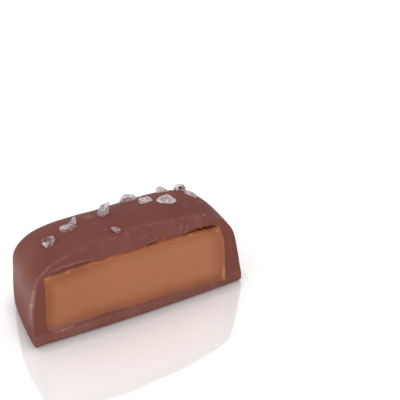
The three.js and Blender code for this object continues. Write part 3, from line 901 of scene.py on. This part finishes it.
def makeSalt():
    crystals = [makeGrain(grain, 31 + i) for i, grain in enumerate(grains + farRow())]
    for i, at in enumerate(crumbs["places"]):
        size = [crumbs["size"] * share for share in (1, 0.8, 0.7)]
        crystals.append(makeGrain(plainGrain(at, size, 40 * i, crumbs["clear"]), 90 + i))
    deselect()
    for crystal in crystals:
        crystal.select_set(True)
    bpy.context.view_layer.objects.active = crystals[0]
    bpy.ops.object.join()
    joined = named("saltGrains")
    print("salt:", len(crystals), "grains,", len(joined.data.polygons), "faces")
    return joined


def newMaterial(name):
    material = bpy.data.materials.new(name)
    material.use_nodes = True
    return material, material.node_tree, material.node_tree.nodes["Principled BSDF"]


def plug(tree, socket, value):  # the value is a number, a colour or another node's output
    if isinstance(value, bpy.types.NodeSocket):
        tree.links.new(value, socket)
    else:
        socket.default_value = value


def setInputs(tree, node, **inputs):
    for name, value in inputs.items():
        plug(tree, node.inputs[name.replace("_", " ")], value)


def addNode(tree, kind, **inputs):
    node = tree.nodes.new(kind)
    setInputs(tree, node, **inputs)
    return node


def addMath(tree, operation, *values):
    node = tree.nodes.new("ShaderNodeMath")
    node.operation = operation
    for socket, value in zip(node.inputs, values):
        plug(tree, socket, value)
    return node.outputs[0]


def addNoise(tree, size, detail=2.0, stretch=(1, 1, 1)):  # blotches about as large as size
    place = addNode(tree, "ShaderNodeTexCoord").outputs["Object"]
    if stretch != (1, 1, 1):
        place = addNode(tree, "ShaderNodeMapping", Vector=place, Scale=stretch).outputs["Vector"]
    noise = addNode(tree, "ShaderNodeTexNoise", Vector=place, Scale=1 / (size * mm), Detail=detail)
    return noise.outputs["Fac"]


def addRamp(tree, factor, low, high, start=0.0, end=1.0):  # turns low to high into start to end
    ends = {"From_Min": low, "From_Max": high, "To_Min": start, "To_Max": end}
    return addNode(tree, "ShaderNodeMapRange", Value=factor, **ends).outputs["Result"]


def readPaint(tree, name):
    node = addNode(tree, "ShaderNodeAttribute")
    node.attribute_name = name
    return node.outputs["Fac"]


def multiply(tree, first, second):
    return addMath(tree, "MULTIPLY", first, second)


def blend(tree, factor, first, second):  # from the first colour to the second
    node = tree.nodes.new("ShaderNodeMixRGB")
    for socket, value in zip(node.inputs, (factor, first, second)):
        plug(tree, socket, (*value, 1) if isinstance(value, tuple) else value)
    return node.outputs["Color"]


def addBump(tree, size, depth, detail=4, stretch=(1, 1, 1), onto=None, within=None):  # in millimetres
    height = addNoise(tree, size, detail, stretch)
    if within is not None:
        height = multiply(tree, height, within)
    node = addNode(tree, "ShaderNodeBump", Height=height, Distance=depth * mm, Strength=1.0)
    if onto is not None:
        tree.links.new(onto, node.inputs["Normal"])
    return node.outputs["Normal"]


def roughen(tree, paint, noise, reach=0.6):  # gives a softly painted mark a ragged edge
    return addRamp(tree, addMath(tree, "MULTIPLY_ADD", noise, reach, paint), reach, reach + 0.3)


def lineAt(tree, place, middle, half):  # 1 where a painted place is the middle one, 0 beyond half
    away = addMath(tree, "ABSOLUTE", addMath(tree, "SUBTRACT", place, middle))
    return addRamp(tree, away, 0, half, 1, 0)


chocolateFinish = {
    "deep": (0.161, 0.050, 0.039), "pale": (0.172, 0.058, 0.047), "paintedSheen": (0.50, 0.33, 0.31),
    # the cut face is paler than the skin, partly as cut chocolate is, partly painted light for the less
    # light it gets
    "cut": (0.177, 0.060, 0.048), "scuffAndPaintedLight": (0.27, 0.125, 0.105), "film": (0.31, 0.084, 0.017),
    "blotches": 4.5, "speckle": 0.28,  # how large they are
    "scuffAndLightStrength": 0.5, "glintAndScrape": 0.32,
    "rimWander": (0.43, 0.57), "rimHalf": 0.13,  # the painted highlight along the cut's edge
    "gloss": 0.02, "roughness": (0.42, 0.55), "cutRoughness": 0.62,
    "grain": (0.35, 0.012), "drag": (0.3, 0.03), "dragStretch": (1, 1, 0.22),  # sizes and depths
}


def makeChocolate():
    finish = chocolateFinish
    material, tree, shader = newMaterial("milkChocolate")
    blotches = addRamp(tree, addNoise(tree, finish["blotches"], 3), 0.35, 0.65)
    speckle = addRamp(tree, addNoise(tree, finish["speckle"], 3), 0.3, 0.7)
    onCut, scuffAndPaintedLight = readPaint(tree, "cutFace"), readPaint(tree, "scuffAndPaintedLight")
    colour = blend(tree, blotches, finish["deep"], finish["pale"])
    # the cut face is a little paler, partly painted light
    colour = blend(tree, onCut, colour, finish["cut"])
    colour = blend(tree, roughen(tree, readPaint(tree, "film"), speckle), colour, finish["film"])
    # scuffs, with a painted highlight along the burr and painted light from the floor on the cut's base
    for mark in (scuffAndPaintedLight, roughen(tree, scuffAndPaintedLight, speckle)):
        colour = blend(tree, multiply(tree, mark, finish["scuffAndLightStrength"]), colour, finish["scuffAndPaintedLight"])
    # painted sheen on the walls, the left foot and shoulder, the crown and the bump's top
    colour = blend(tree, readPaint(tree, "paintedSheen"), colour, finish["paintedSheen"])
    # painted glints up the burr and the cut's left edge, with the whitish scrape
    glintAndScrape = multiply(tree, roughen(tree, readPaint(tree, "glintAndScrape"), speckle), finish["glintAndScrape"])
    colour = blend(tree, glintAndScrape, colour, finish["paintedSheen"])
    # a painted highlight along the cut's edge
    wander = addRamp(tree, speckle, 0, 1, *finish["rimWander"])
    rimLine = lineAt(tree, readPaint(tree, "rimSide"), wander, finish["rimHalf"])
    colour = blend(tree, multiply(tree, rimLine, readPaint(tree, "rimLight")), colour, finish["scuffAndPaintedLight"])
    roughness = addRamp(tree, blotches, 0, 1, *finish["roughness"])
    roughness = addRamp(tree, onCut, 0, 1, roughness, finish["cutRoughness"])
    normal = addBump(tree, *finish["grain"])
    normal = addBump(tree, *finish["drag"], 3, finish["dragStretch"], normal, onCut)
    setInputs(tree, shader, Base_Color=colour, Roughness=roughness, Specular_IOR_Level=finish["gloss"],
              Normal=normal)
    return material


# "edge" is the colour of the painted shade towards the face's edges, "light" that of its painted highlights
caramelFinish = {
    "middle": (0.385, 0.134, 0.060), "edge": (0.222, 0.060, 0.014), "light": (0.44, 0.172, 0.085),
    "fringe": (0.36, 0.088, 0.012), "smear": (0.225, 0.088, 0.068),
    "clouds": 3.0, "grain": 0.35, "blots": 0.7,  # how large they are
    "cloudShade": (0.85, 1.0), "smearing": 0.75, "smearReach": 0.8,
    "gloss": 0.3, "roughness": 0.46, "glow": 0.2, "glowDepth": 0.8, "glowColour": (1.0, 0.4, 0.2),
    "fineBump": (0.5, 0.012), "longBump": (1.0, 0.02), "bumpStretch": (1, 1, 0.3),  # sizes and depths
}


def makeCaramel():
    finish = caramelFinish
    material, tree, shader = newMaterial("softCaramel")
    clouds = addRamp(tree, addNoise(tree, finish["clouds"], 3), 0.3, 0.7, *finish["cloudShade"])
    grain = addRamp(tree, addNoise(tree, finish["grain"], 3), 0.35, 0.65)
    blots = addRamp(tree, addNoise(tree, finish["blots"], 4), 0.35, 0.65)
    # painted shade towards the edges, along the groove and in the crevices
    paintedShade = multiply(tree, readPaint(tree, "paintedShade"), clouds)
    colour = blend(tree, paintedShade, finish["middle"], finish["edge"])
    # painted highlights along the right and top edges, and the warm fringe along the top
    for paint in ("light", "fringe"):
        colour = blend(tree, roughen(tree, readPaint(tree, paint), grain), colour, finish[paint])
    smear = roughen(tree, readPaint(tree, "smear"), blots, finish["smearReach"])
    colour = blend(tree, multiply(tree, smear, finish["smearing"]), colour, finish["smear"])
    normal = addBump(tree, *finish["fineBump"])
    normal = addBump(tree, *finish["longBump"], 2, finish["bumpStretch"], normal)
    setInputs(tree, shader, Base_Color=colour, Roughness=finish["roughness"],
              Specular_IOR_Level=finish["gloss"], Subsurface_Weight=finish["glow"],
              Subsurface_Radius=finish["glowColour"], Subsurface_Scale=finish["glowDepth"] * mm,
              Normal=normal)
    return material


saltFinish = {
    "clear": (0.17, 0.085, 0.082), "frosted": (0.76, 0.645, 0.67),
    "clouds": 0.4, "cloudiness": 0.5,  # how large they are, and how much the tone varies within a grain
    "roughness": 0.35, "seeThrough": 0.1, "ior": 1.54,
    "bump": (0.3, 0.03),  # size and depth
}


def makeSaltFinish():
    finish = saltFinish
    material, tree, shader = newMaterial("seaSalt")
    clouds = addRamp(tree, addNoise(tree, finish["clouds"], 4), 0.35, 0.65)
    # the facets' frosting, with their painted light and shade
    cloudy = addMath(tree, "MULTIPLY_ADD", clouds, finish["cloudiness"], readPaint(tree, "frostAndPaintedLight"))
    frosting = addRamp(tree, cloudy, finish["cloudiness"] / 2, 1 + finish["cloudiness"] / 2)
    colour = blend(tree, frosting, finish["clear"], finish["frosted"])
    setInputs(tree, shader, Base_Color=colour, Roughness=finish["roughness"], IOR=finish["ior"],
              Transmission_Weight=finish["seeThrough"], Normal=addBump(tree, *finish["bump"]))
    return material


view = {"from": (-55.72, -127.97, 112.60), "towards": (18.5, 13.05, 0.0), "lens": 121.3}


def addObject(name, data, place):
    added = bpy.data.objects.new(name, data)
    bpy.context.scene.collection.objects.link(added)
    added.location = Vector(place) * mm
    return added


def makeCamera():
    data = bpy.data.cameras.new("camera")
    data.lens = view["lens"]
    data.clip_start, data.clip_end = 0.01, 10
    camera = addObject("camera", data, view["from"])
    sight = Vector(view["towards"]) - Vector(view["from"])
    camera.rotation_euler = sight.to_track_quat("-Z", "Y").to_euler()
    bpy.context.scene.camera = camera


studio = {
    "light": 1.0,
    "floor": 0.98, "floorSize": 1600, "floorDrop": 0.02, "floorRoughness": 0.05, "floorGlow": 0.08,
    "mirror": 0.22,  # the floor mirrors what stands on it a little
    "contactShadow": 0.62, "contactReach": 1.8,  # painted contact shadow: how dark the floor is painted close to it, and how far out
    "lamps": [  # from, size, power
        ((-400, 0, 150), 260, 0.42),
        ((-120, -420, 260), 300, 0.2),
    ],
}


def makeStudio():
    world = bpy.data.worlds.new("studio")
    world.use_nodes = True
    background = world.node_tree.nodes["Background"]
    setInputs(world.node_tree, background, Color=(1, 1, 1, 1), Strength=studio["light"])
    bpy.context.scene.world = world
    for place, size, power in studio["lamps"]:
        lamp = bpy.data.lights.new("softbox", "AREA")
        lamp.size = size * mm
        lamp.energy = power
        softbox = addObject("softbox", lamp, place)
        softbox.rotation_euler = softbox.location.to_track_quat("Z", "Y").to_euler()
    deselect()
    level = -studio["floorDrop"] * mm
    bpy.ops.mesh.primitive_plane_add(size=studio["floorSize"] * mm, location=(0, 0, level))
    floor = bpy.context.object
    floor.name = "floor"
    material, tree, shader = newMaterial("paleFloor")
    # painted contact shadow: the floor is painted darker where ambient occlusion finds the candy close by
    nearby = addNode(tree, "ShaderNodeAmbientOcclusion", Distance=studio["contactReach"] * mm).outputs["AO"]
    paintedShade = studio["floor"] * (1 - studio["contactShadow"])
    colour = blend(tree, nearby, (paintedShade,) * 3, (studio["floor"],) * 3)
    setInputs(tree, shader, Base_Color=colour, Metallic=studio["mirror"], Roughness=studio["floorRoughness"],
              Emission_Color=(1, 1, 1, 1), Emission_Strength=studio["floorGlow"])
    floor.data.materials.append(material)


def addPiece(piece, material, node):
    piece.data.materials.clear()
    piece.data.materials.append(material)
    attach(piece, "root")
    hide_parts(node)


makeCamera()
makeStudio()
bpy.context.scene.view_settings.view_transform = "Standard"
addPiece(makeCoat(), makeChocolate(), "chocolate_coat")
addPiece(makeFilling(), makeCaramel(), "caramel_filling")
addPiece(makeSalt(), makeSaltFinish(), "chocolate_coat")
